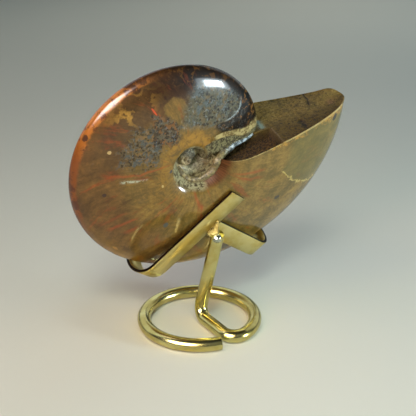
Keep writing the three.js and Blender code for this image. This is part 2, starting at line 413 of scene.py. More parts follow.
def flow_marks(tree, at, colour):
    """Amber round the umbilicus, red and milky streaks, the fiery rim and the golden underside."""
    top = at.degrees.near(288, 34) * 0.08
    amber = (at.out - top).below(0.22, 0.28) * at.out.above(0.09, 0.14) * at.around.within(172, 338, 16)
    yellow = tree.mix(AMBER_BAND, DULL_AMBER_BAND, at.frond.above(0.42, 0.6))
    colour = tree.mix(colour, yellow, amber * (0.45 + at.around.above(220, 256) * 0.45))
    bend = (0.45 - at.share).maths("MAXIMUM", 0) ** 1.5 * 87
    path = at.degrees - bend - 191 + at.drift * 8
    reach = at.share.within(0.16, 0.74, 0.06)
    colour = tree.mix(colour, LONG_RED_STREAK, path.near(0, 1.3) * reach * 0.5)
    near_side = at.across.above(0, 0.01)
    for start, low, end, high, width, strength in STREAKS:
        aside = at.degrees + at.drift * 6 - start - (at.share - low) * (end - start) / (high - low)
        streak = aside.near(0, width) * at.share.within(low, high, 0.04)
        colour = tree.mix(colour, SHORT_RED_STREAK, streak * near_side * strength)
    milky = (at.degrees + at.drift * 6).near(185.3, 1.1) * at.share.within(0.36, 0.58, 0.03)
    colour = tree.mix(colour, MILKY_STREAK, milky * at.pepper.above(0.4, 0.56) * 0.8)
    glow = at.around.within(196, 236, 12) * at.out.above(0.84, 0.95)
    colour = tree.mix(colour, RIM_GLOW, glow * 0.15)
    rim = (at.share + at.drift * 0.07).above(0.94, 0.965) * at.around.within(160, 250, 14)
    ember = (at.frond + at.wander * 0.6 + at.drift * 0.8).above(0.46, 0.6)
    hot = tree.mix(RIM_ORANGE, RIM_FLAME, at.around.above(192, 212))
    fire = tree.mix(hot, RIM_EMBER, ember)
    colour = tree.mix(colour, fire, rim * 0.9)
    underside = at.around.within(66, 150, 16) * at.out.above(0.84, 0.98)
    return tree.mix(colour, GOLDEN_UNDERSIDE, underside * 0.6)


# Colours of the suture patches: the web, its dense core, the veil on the dome and the dark shoulder.
WEB_BROWN = paint(88, 72, 40)
WEB_GREY = paint(70, 73, 70)
WEB_SOOT = paint(30, 26, 22)
WEB_BLACK = paint(16, 14, 13)
WEB_PALE = paint(104, 112, 112)
WEB_OCHRE = paint(132, 96, 44)
CORE_GREY = paint(80, 74, 58)
CORE_SOOT = paint(28, 24, 20)
CORE_BLUE = paint(94, 104, 114)
CORE_BLACK = paint(10, 9, 9)
CORE_TAN = paint(104, 80, 44)
CORE_OCHRE = paint(116, 74, 32)
VEIL_OLIVE = paint(84, 79, 58)
VEIL_BLUE = paint(78, 86, 84)
VEIL_SOOT = paint(40, 38, 33)
VEIL_PALE = paint(122, 131, 134)
ROSETTE_GREY = paint(44, 42, 38)
ROSETTE_BLACK = paint(18, 17, 16)
VEIL_OCHRE = paint(112, 88, 48)
SHOULDER_BLACK = paint(10, 8, 5)
SHOULDER_GREY = paint(88, 90, 86)
SHOULDER_OCHRE = paint(130, 86, 34)
PALE_SUTURE = paint(160, 170, 170)
VENTER_FLECK = paint(112, 72, 26)


def suture_patches(tree, at, colour):
    """Lobes along the chamber walls: black and ochre cells in a grey-blue web."""
    ragged = at.frond - 0.5
    ochre = at.rust.above(0.53, 0.6)
    bright = at.pepper.above(0.52, 0.6)
    pupil = at.eye.below(0.24, 0.4)
    outline = at.eye.above(0.54, 0.68)
    soot = at.pepper.below(0.42, 0.5)

    lobe = at.degrees.near(221, 23) * at.share.near(0.48, 0.18)
    patch = (lobe + ragged * 1.5 + (at.streak - 0.5) * 0.6).above(0.22, 0.5)
    web = tree.mix(WEB_BROWN, WEB_GREY, outline)
    web = tree.mix(web, WEB_SOOT, soot * 0.7)
    web = tree.mix(web, WEB_BLACK, pupil * 0.9)
    web = tree.mix(web, WEB_PALE, at.grain.above(0.57, 0.62) * 0.45)
    web = tree.mix(web, WEB_OCHRE, ochre * 0.5)
    colour = tree.mix(colour, web, patch * 0.9)

    diamond = 1 - abs(at.degrees - 245) / 24 - abs(at.share - 0.41) / 0.26
    core = (diamond + ragged * 1.8 + at.drift * 1.6).above(-0.05, 0.35)
    dense = tree.mix(CORE_GREY, CORE_SOOT, at.pepper.above(0.44, 0.56))
    dense = tree.mix(dense, CORE_BLUE, at.grain.above(0.56, 0.62) * 0.65)
    dense = tree.mix(dense, CORE_BLACK, at.eye.below(0.34, 0.5) * 0.85)
    dense = tree.mix(dense, CORE_TAN, at.pepper.near(0.5, 0.03) * 0.6)
    dense = tree.mix(dense, CORE_OCHRE, ochre * 0.75)
    colour = tree.mix(colour, dense, core * 0.95)

    edge = 327.5 - (at.share - 0.73) ** 2 * 180
    behind = at.degrees - edge + ragged * 6
    inside = (at.share + ragged * 0.16).within(0.36, 0.86, 0.05)
    dome = (at.degrees - (at.share - 0.4) * 43 + ragged * 18).above(258, 270) * behind.below(-2, 2) * inside
    veil = tree.mix(VEIL_OLIVE, VEIL_BLUE, (at.mottle + at.drift * 0.4).above(0.44, 0.56))
    veil = tree.mix(veil, VEIL_SOOT, at.pepper.below(0.4, 0.52) * 0.75)
    veil = tree.mix(veil, VEIL_PALE, at.grain.above(0.55, 0.62) * 0.55)
    rosettes = (at.degrees + at.wander * 60 - (at.share - 0.6) * 40).above(276, 300)
    veil = tree.mix(veil, ROSETTE_GREY, (soot + outline * 0.4) * rosettes * 0.75)
    veil = tree.mix(veil, ROSETTE_BLACK, pupil * rosettes * 0.92)
    veil = tree.mix(veil, VEIL_OCHRE, ochre * 0.45)
    colour = tree.mix(colour, veil, dome * 0.92)

    shoulder = behind.above(-1, 2) * at.degrees.below(344, 350) * at.share.above(0.34, 0.44)
    specks = tree.mix(SHOULDER_BLACK, SHOULDER_GREY, bright * at.share.below(0.7, 0.95) * 0.5)
    specks = tree.mix(specks, SHOULDER_OCHRE, ochre * at.pepper.above(0.46, 0.54) * 0.65)
    colour = tree.mix(colour, specks, shoulder * 0.92)
    thread = (at.degrees - edge + ragged * 4).near(0, 0.9) * at.share.within(0.56, 0.86, 0.05)
    colour = tree.mix(colour, PALE_SUTURE, thread * at.pepper.above(0.36, 0.52) * 0.7)
    fleck = ochre * at.around.within(262, 350, 10) * at.out.above(0.8, 0.9)
    return tree.mix(colour, VENTER_FLECK, fleck * 0.35)


# Colours of the shell beside the aperture.
SEAM_HAZE = paint(124, 116, 82)
SEAM_HAZE_DARK = paint(60, 52, 36)
CREAM_SHELL = paint(174, 156, 104)
STAINED_CREAM = paint(112, 92, 54)
GREY_PATCH = paint(92, 88, 46)
PALE_LINE = paint(194, 168, 94)
WORN_AMBER = paint(178, 130, 48)
WORN_BROWN = paint(116, 82, 30)
PALE_LIP = paint(178, 154, 96)


def aperture_shell(tree, at, colour):
    """Cream shell and grey haze beside the seam, the grey patch by the aperture and its worn lip."""
    bend = (0.75 - at.share).maths("MAXIMUM", 0) ** 1.3 * 78
    path = at.degrees + bend - 353 + (at.frond - 0.5) * 8
    haze = tree.mix(SEAM_HAZE, SEAM_HAZE_DARK, at.pepper.above(0.42, 0.56))
    colour = tree.mix(colour, haze, path.above(3, 6) * at.out.above(0.1, 0.15))
    cream = tree.mix(CREAM_SHELL, STAINED_CREAM, (at.grain + at.drift).above(0.42, 0.6))
    colour = tree.mix(colour, cream, path.within(-4, 4, 1.2) * at.share.above(0.27, 0.34) * 0.95)

    edge_path = 32 - (at.share - 0.79) ** 2 * 112 + (at.frond - 0.5) * 9
    grey = (at.degrees - edge_path).below(-2, 2) * at.share.above(0.48, 0.56)
    colour = tree.mix(colour, GREY_PATCH, grey * 0.5)
    pale_line = (at.degrees - edge_path).near(0, 0.45) * at.share.above(0.5, 0.54)
    colour = tree.mix(colour, PALE_LINE, pale_line * 0.65)
    near_side = at.across.above(0.02, 0.05)
    ragged_edge = (at.degrees - 16 * (at.frond - 0.42)).below(0.3, 2.4)
    worn = ragged_edge * at.share.within(0.3, 0.98, 0.03) * near_side
    amber = tree.mix(WORN_AMBER, WORN_BROWN, at.grain.above(0.44, 0.56))
    colour = tree.mix(colour, amber, worn * at.mottle.above(0.42, 0.54) * 0.8)
    lip = at.degrees.below(0.7, 1.3) * near_side * (at.grain + at.drift * 0.6).above(0.38, 0.5)
    return tree.mix(colour, PALE_LIP, lip * 0.8)


# Colours of the wall into the umbilicus.
WALL_BROWN = paint(112, 69, 37)
WALL_DARK = paint(76, 46, 22)
WALL_GRIT = paint(156, 148, 112)
WALL_GRIT_DARK = paint(70, 60, 40)


def fossil_shell(tree):
    """Polished shell: ground, streaks, sutures, pale shell by the aperture, umbilical wall, small marks."""
    at = flank_fields(tree)
    colour = ground_colour(tree, at)
    colour = flow_marks(tree, at, colour)
    colour = suture_patches(tree, at, colour)
    colour = aperture_shell(tree, at, colour)
    wall = (at.share + at.drift * 0.04).below(0.075, 0.115)
    smooth_wall = tree.mix(WALL_BROWN, WALL_DARK, at.streak.above(0.42, 0.58))
    grit = tree.mix(WALL_GRIT, WALL_GRIT_DARK, at.grain.above(0.44, 0.58))
    bare = (at.degrees + at.drift * 40).above(66, 86).maths("MAXIMUM", at.share.below(0.03, 0.042))
    colour = tree.mix(colour, tree.mix(smooth_wall, grit, bare), wall * 0.95)
    for angle, middle, width, height, tone in MARKS:
        mark = at.degrees.near(angle, width) * at.share.near(middle, height)
        spot = (mark + (at.grain - 0.5) * 0.9).above(0.42, 0.62)
        colour = tree.mix(colour, tone, spot * at.across.above(0, 0.01) * 0.9)
    relief = at.wander * 1.2 + wall * at.grain * at.degrees.above(62, 92) * 3
    return {
        "Base Color": colour,
        "Coat Weight": 1 - wall * 0.97,
        "Normal": tree.bump(relief, 0.0003),
    }


# Colours of the inner coil and the umbilical knob, with painted shade for the knob's shaded side.
COIL_PALE = paint(186, 178, 140)
COIL_GREY = paint(118, 110, 78)
COIL_STAIN = paint(150, 110, 48)
COIL_SPECK = paint(48, 38, 26)
COIL_GRAIN = paint(182, 174, 136)
COIL_PAINTED_SHADE = paint(26, 21, 13)


def inner_coil(tree):
    """Granular mineral on the small inner whorls and the knob, with painted shade on the knob's side away
    from the light.
    """
    place = tree.place()
    frond = tree.noise(place, 420, 6, 0.7, 0.8)
    speck = tree.noise(place, 1700, 5, 0.72)
    colour = tree.mix(COIL_PALE, COIL_GREY, frond.above(0.42, 0.58))
    stain = tree.noise(place, 170, 4, 0.6).above(0.44, 0.56)
    colour = tree.mix(colour, COIL_STAIN, stain * 0.5)
    colour = tree.mix(colour, COIL_SPECK, speck.above(0.53, 0.63) * 0.75)
    colour = tree.mix(colour, COIL_GRAIN, speck.below(0.36, 0.46) * 0.5)
    # painted shade: darkens the knob's side away from the light, where the hollow beside it lies in shadow
    colour = tree.mix(colour, COIL_PAINTED_SHADE, tree.attribute("painted_shade_side") * speck.above(0.3, 0.52) * 0.85)
    height = frond + speck * 0.6
    return {"Base Color": colour, "Roughness": 0.4 + speck * 0.2, "Normal": tree.bump(height, 0.0006)}


# Colours of the seam ridge.
PEARL = paint(196, 212, 216)
PEARL_SHADE = paint(70, 84, 86)
RIDGE_MINERAL = paint(146, 130, 84)
RIDGE_MINERAL_DARK = paint(86, 74, 42)


def seam_ridge(tree):
    """Pearly shell edge above the hollow, turning to granular mineral round the umbilicus."""
    place = tree.place()
    along = tree.attribute("along")
    frond = tree.noise(place, 520, 6, 0.7, 0.8)
    speck = tree.noise(place, 1500, 5, 0.72)
    pearl = tree.mix(PEARL, PEARL_SHADE, (frond + speck - 0.5).above(0.44, 0.54))
    mineral = tree.mix(RIDGE_MINERAL, RIDGE_MINERAL_DARK, (frond + speck - 0.5).above(0.42, 0.6))
    colour = tree.mix(pearl, mineral, (along + (frond - 0.5) * 0.4).above(0.3, 0.42))
    return {"Base Color": colour, "Roughness": 0.3 + speck * 0.2, "Normal": tree.bump(frond, 0.0007)}


# Colours of the stone in the aperture, with painted shade for its near side.
SANDSTONE = paint(158, 130, 57)
SANDSTONE_DARK = paint(112, 91, 34)
PALE_BED = paint(162, 133, 60)
PALE_GRAIN = paint(182, 152, 80)
DARK_GRAIN = paint(30, 25, 13)
GREEN_BED = paint(40, 44, 28)
NEAR_SIDE_PAINTED_SHADE = paint(182, 174, 108)
CRACK = paint(24, 19, 10)
PINK_GRAINS = paint(186, 132, 96)
NACRE = paint(172, 192, 176)
HOLLOW_BROWN = paint(124, 88, 32)
HOLLOW_DARK = paint(30, 21, 6)
HOLLOW_BRINK = paint(150, 122, 84)
CUT_SHELL = paint(184, 158, 96)


def stone_fill(tree):
    """Fine brown sandstone in the aperture, darkened and yellowed towards the near side by painted shade,
    with a pale rim where the near side's shell is cut.
    """
    place = tree.place()
    rim = tree.attribute("rim")
    side = tree.attribute("side")
    pit = tree.attribute("pit")
    brink = tree.attribute("brink")
    reach = tree.attribute("reach")
    lift = tree.attribute("lift")
    frond = tree.noise(place, 260, 8, 0.75)
    speck = tree.noise(place, 1150, 4, 0.85)
    bedding = tree.noise(tree.vector(reach * 9, lift * 26, 0), 1, 5, 0.72)
    colour = tree.mix(SANDSTONE, SANDSTONE_DARK, (frond * 0.6 + bedding * 0.4).above(0.4, 0.6))
    colour = tree.mix(colour, PALE_BED, bedding.above(0.54, 0.64) * 0.5)
    colour = tree.mix(colour, PALE_GRAIN, speck.above(0.54, 0.62) * 0.75)
    colour = tree.mix(colour, DARK_GRAIN, speck.below(0.38, 0.46) * 0.8)
    colour = tree.mix(colour, GREEN_BED, (bedding + frond - 0.5).above(0.62, 0.7) * 0.5)
    # painted shade with a yellow tint, multiplied in towards the near side
    colour = tree.mix(colour, NEAR_SIDE_PAINTED_SHADE, lift.above(-0.1, 0.5), "MULTIPLY")
    crack = (reach + (frond - 0.5) * 0.05 + lift * 0.05).near(0.765, 0.006) * lift.within(-0.6, -0.05, 0.05)
    notch = reach.near(0.64, 0.014) * lift.within(0.3, 0.66, 0.05)
    colour = tree.mix(colour, CRACK, (crack + notch * frond.above(0.4, 0.5)) * 0.9)
    blush = reach.near(0.9, 0.03) * lift.near(0.06, 0.09) * speck.above(0.44, 0.56)
    colour = tree.mix(colour, PINK_GRAINS, blush * 0.7)
    nacre = (reach + (frond - 0.5) * 0.06).near(0.4, 0.016) * lift.within(-0.18, 0.16, 0.04)
    colour = tree.mix(colour, NACRE, nacre * speck.above(0.36, 0.5))
    floor = tree.mix(HOLLOW_BROWN, HOLLOW_DARK, speck.above(0.4, 0.56))
    colour = tree.mix(colour, floor, pit * 0.92)
    colour = tree.mix(colour, HOLLOW_BRINK, brink * speck.above(0.34, 0.46) * 0.7)
    cut = (rim + (frond - 0.5) * 0.05).above(0.965, 0.98) * side.above(0.03, 0.08) * speck.above(0.34, 0.46)
    colour = tree.mix(colour, CUT_SHELL, cut)
    height = frond * 1.6 + speck + bedding - (crack + notch) * 2
    return {"Base Color": colour, "Roughness": 0.62 + speck * 0.2, "Normal": tree.bump(height, 0.0014)}


# Colours of the brass, and the painted dark reflection along the strips' edges.
PAINTED_DARK_EDGE_REFLECTION = paint(22, 13, 7)
WIRE_PALE = paint(204, 196, 134)
WIRE_DEEP = paint(188, 174, 104)
STRIP_PALE = paint(218, 204, 140)
STRIP_DEEP = paint(204, 184, 106)


def brass(tree, dullness, pale, deep):
    """Rolled brass with faint handling haze and fine scratches, and painted dark reflection along sheared
    edges.
    """
    place = tree.place()
    haze = tree.noise(place, 130, 4, 0.6)
    fine = tree.noise(place, 2600, 3, 0.6)
    edge = tree.attribute("edge")
    colour = tree.mix(pale, deep, haze.above(0.4, 0.62))
    # painted dark reflection along the strip's edges, where the edge faces mirror the dark shell
    colour = tree.mix(colour, PAINTED_DARK_EDGE_REFLECTION, edge)
    return {
        "Base Color": colour,
        "Roughness": dullness + haze.above(0.45, 0.7) * 0.07 + (fine - 0.5) * 0.03 + edge * 0.2,
        "Normal": tree.bump(fine, 0.000004),
    }


def polished_wire(tree):
    """The rod's brighter, smoother brass."""
    return brass(tree, 0.2, WIRE_PALE, WIRE_DEEP)


def brushed_strip(tree):
    """The strips' duller brass."""
    return brass(tree, 0.33, STRIP_PALE, STRIP_DEEP)


# Colours of the solder, with a painted highlight for the crest of its fillet.
SOLDER_YELLOW = paint(160, 148, 92)
SOLDER_DULL = paint(112, 98, 50)
PAINTED_CREST_HIGHLIGHT = paint(250, 250, 240)
SOLDER_SILVER = paint(176, 184, 172)
SOLDER_PIT = paint(52, 40, 22)


def bright_solder(tree):
    """Run solder, yellow where it wets the brass, with a painted white highlight along its crest and small
    dark pits.
    """
    place = tree.place()
    haze = tree.noise(place, 420, 4, 0.6)
    drop = tree.attribute("drop")
    painted_highlight_crest = tree.attribute("painted_highlight_crest")
    pits = tree.noise(place, 700, 4, 0.6).above(0.6, 0.66) * (1 - drop) * (1 - painted_highlight_crest)
    colour = tree.mix(SOLDER_YELLOW, SOLDER_DULL, haze.above(0.42, 0.62))
    # the crest's near-white is a painted highlight
    colour = tree.mix(colour, PAINTED_CREST_HIGHLIGHT, painted_highlight_crest)
    colour = tree.mix(colour, SOLDER_SILVER, drop)
    colour = tree.mix(colour, SOLDER_PIT, pits)
    dull = 0.55 - drop * 0.4 - painted_highlight_crest * 0.3 + pits * 0.2
    return {"Base Color": colour, "Roughness": dull, "Normal": tree.bump(haze - pits, 0.0004)}


# Colours of the floor and the room.
FLOOR_PALE = paint(224, 220, 211)
FLOOR_SHADE = paint(218, 214, 205)
ROOM_GREY = paint(150, 166, 160)


def pale_floor(tree):
    """A plain floor with the faintest unevenness of tone."""
    haze = tree.noise(tree.place(), 3, 2)
    return {"Base Color": tree.mix(FLOOR_PALE, FLOOR_SHADE, haze)}


shell_look = material(
    "polished_ammonite_shell", fossil_shell, Specular_IOR_Level=0.1, Coat_Roughness=0.1, Coat_IOR=1.42)
coil_look = material("ammonite_inner_coil", inner_coil, Coat_Weight=0.12, Coat_Roughness=0.1)
ridge_look = material("ammonite_seam_ridge", seam_ridge, Coat_Weight=0.2, Coat_Roughness=0.1)
stone_look = material("ammonite_stone_fill", stone_fill, Specular_IOR_Level=0.25)
wire_look = material("polished_brass_wire", polished_wire, Metallic=1.0)
strip_look = material("brushed_brass_strip", brushed_strip, Metallic=1.0)
solder_look = material("bright_solder", bright_solder, Metallic=1.0)
floor_look = material("pale_floor", pale_floor, Roughness=0.7, Specular_IOR_Level=0.0)


def shape_tree(name, inputs):
    """An empty geometry tree with named inputs; gives the tree and its input values by name."""
    group = bpy.data.node_groups.new(name, "GeometryNodeTree")
    for label, kind in inputs.items():
        group.interface.new_socket(label, in_out="INPUT", socket_type="NodeSocket" + kind)
    group.interface.new_socket("Geometry", in_out="OUTPUT", socket_type="NodeSocketGeometry")
    tree = Tree(group)
    source = group.nodes.new("NodeGroupInput")
    return tree, {label: Value(tree, source.outputs[label]) for label in inputs}


def end_tree(tree, geometry, look):
    """Smooth, real and dressed geometry as the tree's result."""
    smooth = tree.node("GeometryNodeSetShadeSmooth", None, {"Geometry": geometry})
    real = tree.node("GeometryNodeRealizeInstances", None, {"Geometry": smooth})
    dressed = tree.node("GeometryNodeSetMaterial", None, {"Geometry": real, "Material": look})
    sink = tree.tree.nodes.new("NodeGroupOutput")
    tree.feed(sink.inputs["Geometry"], dressed)
    return tree.tree


def section(side):
    """Share of the way from seam to venter, and flank height, at a place on the whorl's outline."""
    share = ((side * math.pi).maths("COSINE") + 1) * 0.5
    under = ((SHOULDER_SHARE - share) / SHOULDER_SHARE).maths("MAXIMUM", 0)
    past = ((share - SHOULDER_SHARE) / (1 - SHOULDER_SHARE)).maths("MAXIMUM", 0)
    wall = (1 - under ** UMBILICAL_WALL_POWER).maths("MAXIMUM", 0) ** 0.5
    flank = (1 - past ** FLANK_TAPER).maths("MAXIMUM", 0) ** VENTER_ROUNDNESS
    return share, wall * flank * side.maths("SIGN")


def lip_angle(side):
    """The aperture's far edge dips along the flank and rises a little near the venter."""
    return side.near(-0.15, 0.075) * FAR_EDGE_RISE - side.near(-0.42, 0.16) * FAR_EDGE_DIP


def grid_fields(tree, columns, rows):
    """A unit grid, with each point's two places on it from 0 to 1."""
    sizes = {"Size X": 1.0, "Size Y": 1.0, "Vertices X": columns, "Vertices Y": rows}
    grid = tree.node("GeometryNodeMeshGrid", None, sizes)
    point = tree.node("GeometryNodeInputPosition")
    x = tree.node("ShaderNodeSeparateXYZ", None, {0: point}, output="X")
    y = tree.node("ShaderNodeSeparateXYZ", None, {0: point}, output="Y")
    return grid, x + 0.5, y + 0.5


def stored(tree, geometry, name, value):
    """The geometry with a value kept on its points for the materials."""
    inputs = {"Geometry": geometry, "Name": name, "Value": value}
    return tree.node("GeometryNodeStoreNamedAttribute", {"data_type": "FLOAT", "domain": "POINT"}, inputs)


def coiled(tree, geometry, radius, angle, height):
    """The geometry with its points placed round the coil's axis."""
    place = tree.vector(radius * angle.maths("COSINE"), radius * angle.maths("SINE"), height)
    return tree.node("GeometryNodeSetPosition", None, {"Geometry": geometry, "Position": place})


def welded(tree, geometry):
    """Closes the seam and the pole where a grid's edges meet."""
    return tree.node("GeometryNodeMergeByDistance", None, {"Geometry": geometry, "Distance": WELD_DISTANCE})


def whorl_tree():
    """The shell's section swept along a logarithmic spiral."""
    inputs = {"First Turn": "Float", "Last Turn": "Float", "Steps": "Int", "Outline Points": "Int",
              "Aperture Radius": "Float", "Expansion": "Float", "Look": "Material"}
    tree, given = shape_tree("whorl", inputs)
    grid, along, loop = grid_fields(tree, given["Steps"], given["Outline Points"])
    turn = given["First Turn"] + along * (given["Last Turn"] - given["First Turn"])
    side = 1 - loop * 2
    share, height = section(side)
    outer = given["Aperture Radius"] * given["Expansion"] ** (turn * -1)
    radius = outer * (SEAM_RATIO + (1 - SEAM_RATIO) * share)
    angle = turn.below(0, LIP_TURNS) * lip_angle(side) - turn * TAU
    marked = stored(tree, grid, "turn", turn)
    marked = stored(tree, marked, "across", (1 - share) * side.maths("SIGN"))
    shell = coiled(tree, marked, radius, angle, outer * HALF_THICKNESS_RATIO * height)
    return end_tree(tree, shell, given["Look"])


def aperture_tree():
    """Stone across the aperture, with a hollow between the near flank and the inner whorl."""
    inputs = {"Rings": "Int", "Outline Points": "Int", "Aperture Radius": "Float", "Hollow": "Float",
              "Roughness": "Float", "Look": "Material"}
    tree, given = shape_tree("aperture", inputs)
    grid, spread, loop = grid_fields(tree, given["Rings"], given["Outline Points"])
    side = 1 - loop * 2
    edge_share, edge_height = section(side)
    share = FILL_MIDDLE_SHARE + (edge_share - FILL_MIDDLE_SHARE) * spread
    radius = given["Aperture Radius"] * (SEAM_RATIO + (1 - SEAM_RATIO) * share)
    height = given["Aperture Radius"] * HALF_THICKNESS_RATIO * edge_height * spread
    lumps = tree.node("ShaderNodeTexNoise", None, {
        "Vector": tree.vector(radius, height, 3.0), "Scale": 0.16, "Detail": 5.0, "Roughness": 0.62})
    inside = spread.below(0.95, 1.0)
    before_end = share.below(HOLLOW_END_SHARE - HOLLOW_END_SOFTNESS, HOLLOW_END_SHARE + HOLLOW_END_SOFTNESS)
    pit = before_end * height.above(HOLLOW_SIDE - HOLLOW_SIDE_SOFTNESS, HOLLOW_SIDE + HOLLOW_SIDE_SOFTNESS)
    brink_side = height.above(BRINK_SIDE, HOLLOW_SIDE + HOLLOW_SIDE_SOFTNESS)
    brink = share.near(BRINK_SHARE, BRINK_HALF_WIDTH) * brink_side
    depth = inside * (FILL_SET_BACK + given["Hollow"] * pit + (lumps - 0.5) * given["Roughness"])
    angle = lip_angle(side) * spread * spread - depth / radius
    marked = stored(tree, grid, "rim", spread)
    marked = stored(tree, marked, "side", side)
    marked = stored(tree, marked, "reach", share)
    marked = stored(tree, marked, "lift", height / (APERTURE_RADIUS * HALF_THICKNESS_RATIO))
    marked = stored(tree, marked, "pit", pit)
    marked = stored(tree, marked, "brink", brink)
    fill = coiled(tree, marked, radius, angle, height)
    return end_tree(tree, welded(tree, fill), given["Look"])


def knob_tree():
    """Low granular boss with a spiral furrow, and painted shade marked on one side of it."""
    inputs = {"Rings": "Int", "Steps": "Int", "Radius": "Float", "Foot": "Float", "Height": "Float",
              "Furrow": "Float", "Shade Angle": "Float", "Look": "Material"}
    tree, given = shape_tree("knob", inputs)
    grid, spread, loop = grid_fields(tree, given["Rings"], given["Steps"])
    angle = loop * TAU
    radius = given["Radius"] * spread
    spiral = (angle + (spread + 0.12).maths("LOGARITHM", math.e) * 5.5).maths("COSINE")
    flat = tree.vector(radius * angle.maths("COSINE"), radius * angle.maths("SINE"), 5.0)
    lumps = tree.noise(flat, 0.7, 4, 0.6) - 0.5
    furrow = given["Furrow"] * spiral * spread.above(0, 0.12) * spread.below(0.8, 1.0)
    rise = given["Height"] * (1 - spread ** 2.4) + furrow + lumps * 1.2
    aside = (angle - given["Shade Angle"]).maths("COSINE")
    # the side of the boss that gets painted shade, towards the shade angle
    painted_shade_side = spread.below(0.75, 0.95) * (aside * spread).above(-0.25, 0.45)
    marked = stored(tree, grid, "painted_shade_side", painted_shade_side)
    boss = coiled(tree, marked, radius, angle, given["Foot"] + rise)
    return end_tree(tree, welded(tree, boss), given["Look"])


def ridge_tree():
    """A rough bead along a path, thin where it starts and thickest midway."""
    inputs = {"Path": "Geometry", "Radius": "Float", "Roughness": "Float", "Look": "Material"}
    tree, given = shape_tree("seam ridge", inputs)
    along = tree.node("GeometryNodeSplineParameter")
    marked = stored(tree, given["Path"], "along", along)
    outline = tree.node("GeometryNodeCurvePrimitiveCircle", None,
                        {"Resolution": 20, "Radius": given["Radius"]})
    scale = 0.42 + along.above(0.1, 0.42) * 0.58 - along.above(0.5, 1.0) * 0.25
    bead = tree.node("GeometryNodeCurveToMesh", None,
                     {"Curve": marked, "Profile Curve": outline, "Scale": scale, "Fill Caps": True})
    lumps = tree.noise(tree.node("GeometryNodeInputPosition"), 0.9, 4, 0.6) - 0.5
    normal = tree.node("GeometryNodeInputNormal")
    push = normal.stretch("SCALE")
    tree.feed(push.socket.node.inputs["Scale"], lumps * given["Roughness"])
    rough = tree.node("GeometryNodeSetPosition", None, {"Geometry": bead, "Offset": push})
    return end_tree(tree, rough, given["Look"])


def sweep_tree():
    """A strip swept along a path, with its two sheared edges marked for painted dark reflection."""
    inputs = {"Path": "Geometry", "Width": "Float", "Thickness": "Float", "Edge Radius": "Float",
              "Look": "Material"}
    tree, given = shape_tree("swept strip", inputs)
    outline = tree.node("GeometryNodeCurvePrimitiveQuadrilateral", None,
                        {"Width": given["Width"], "Height": given["Thickness"]})
    rounded = tree.node("GeometryNodeFilletCurve", None, {"Curve": outline, "Radius": given["Edge Radius"]})
    x = tree.node("ShaderNodeSeparateXYZ", None, {0: tree.node("GeometryNodeInputPosition")}, output="X")
    half = given["Width"] * 0.5
    # marks the edges for the painted dark reflection in the brass material
    edged = stored(tree, rounded, "edge", abs(x).above(half - DARK_EDGE_START, half - DARK_EDGE_FULL))
    solid = tree.node("GeometryNodeCurveToMesh", None,
                      {"Curve": given["Path"], "Profile Curve": edged, "Fill Caps": True})
    return end_tree(tree, solid, given["Look"])


def wire_tree():
    """A round rod along a path."""
    inputs = {"Path": "Geometry", "Radius": "Float", "Sides": "Int", "Look": "Material"}
    tree, given = shape_tree("bent wire", inputs)
    outline = tree.node("GeometryNodeCurvePrimitiveCircle", None,
                        {"Resolution": given["Sides"], "Radius": given["Radius"]})
    solid = tree.node("GeometryNodeCurveToMesh", None,
                      {"Curve": given["Path"], "Profile Curve": outline, "Fill Caps": True})
    return end_tree(tree, solid, given["Look"])


def solder_tree():
    """Fillet that tapers up the strip, and the drop at its foot."""
    inputs = {"Steps": "Int", "Outline Points": "Int", "Foot": "Vector", "Run": "Vector",
              "Half Width": "Float", "Height": "Float", "Drop": "Vector", "Drop Radius": "Float",
              "Look": "Material"}
    tree, given = shape_tree("solder", inputs)
    grid, along, around = grid_fields(tree, given["Steps"], given["Outline Points"])
    taper = (1 - along) ** 1.35
    sweep = around * math.pi
    lumps = tree.noise(tree.vector(along * 4, around * 3, 2.0), 1, 2) - 0.5
    wide = given["Half Width"] * taper + 0.3 + lumps * 0.5
    tall = given["Height"] * taper + 0.35 + lumps * 0.4 + around.near(0.5, 0.07) * 0.5
    middle = given["Run"].stretch("MULTIPLY_ADD", along, given["Foot"])
    offset = tree.vector(wide * sweep.maths("COSINE"), 0.0, tall * sweep.maths("SINE") ** 1.3)
    fillet = tree.node("GeometryNodeSetPosition", None,
                       {"Geometry": grid, "Position": middle.stretch("ADD", offset)})
    ball = tree.node("GeometryNodeMeshIcoSphere", None, {"Radius": given["Drop Radius"], "Subdivisions": 5})
    drop = tree.node("GeometryNodeTransform", None, {"Geometry": ball, "Translation": given["Drop"]})
    both = tree.tree.nodes.new("GeometryNodeJoinGeometry")
    tree.feed(both.inputs[0], stored(tree, drop, "drop", 1.0))
    # marks the fillet's crest for the painted white highlight in the solder's material
    marked = stored(tree, fillet, "painted_highlight_crest", around.near(0.52, 0.085))
    tree.feed(both.inputs[0], stored(tree, marked, "drop", 0.0))
    return end_tree(tree, Value(tree, both.outputs[0]), given["Look"])


def grown(name, group, values, matrix, source=None):
    """The tree's result as a plain mesh piece, taken to the object's frame."""
    holder = bpy.data.objects.new(name + "_source", source or bpy.data.meshes.new(name + "_source"))
    bpy.context.scene.collection.objects.link(holder)
    modifier = holder.modifiers.new("shape", "NODES")
    modifier.node_group = group
    for item in group.interface.items_tree:
        if item.in_out == "INPUT" and item.name in values:
            modifier[item.identifier] = values[item.name]
    shaped = holder.evaluated_get(bpy.context.evaluated_depsgraph_get())
    mesh = bpy.data.meshes.new_from_object(shaped)
    bpy.data.objects.remove(holder)
    mesh.transform(matrix)
    piece = bpy.data.objects.new(name, mesh)
    bpy.context.scene.collection.objects.link(piece)
    return piece


